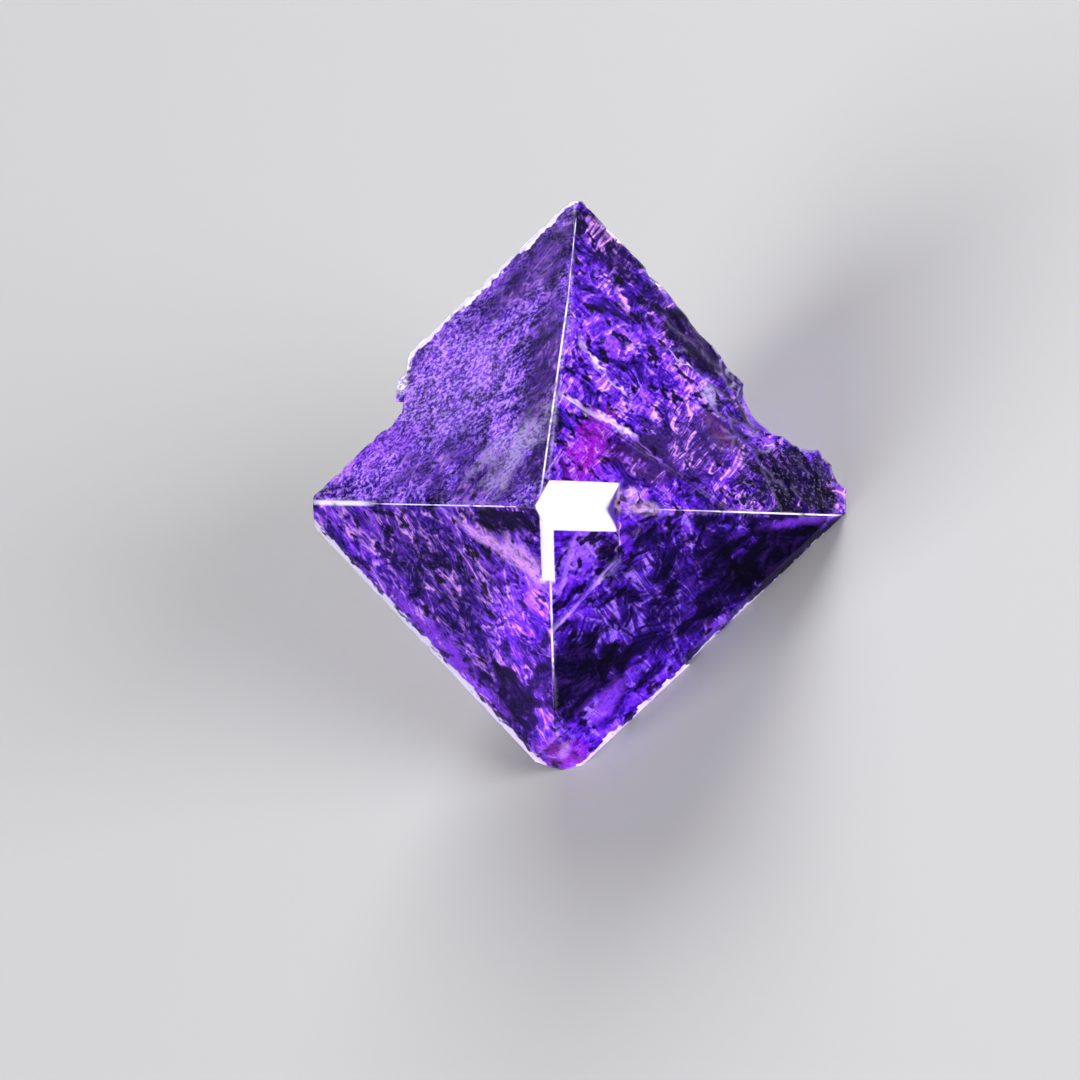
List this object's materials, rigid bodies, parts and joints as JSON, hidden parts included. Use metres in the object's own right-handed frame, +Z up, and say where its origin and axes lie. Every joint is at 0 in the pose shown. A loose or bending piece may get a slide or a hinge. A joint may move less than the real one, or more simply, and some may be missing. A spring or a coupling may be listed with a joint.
{
  "type": "fluorite crystal",
  "caption": "Violet fluorite octahedron with chipped edges and a stepped side, a mineral specimen lying on one of its own faces.",
  "frame": {"origin": "middle of the bounding box, on the surface that the crystal rests on", "axes": "+Z up, away from the rest face; -Y towards the side from which the front tip is seen; +X to its right"},
  "size_m": [0.0262, 0.0276, 0.0203],
  "materials": {
    "violet_fluorite": "see-through violet crystal, satin to glassy faces"
  },
  "bodies": {
    "root": {"fluorite_crystal": "violet_fluorite"}
  },
  "joints": []
}
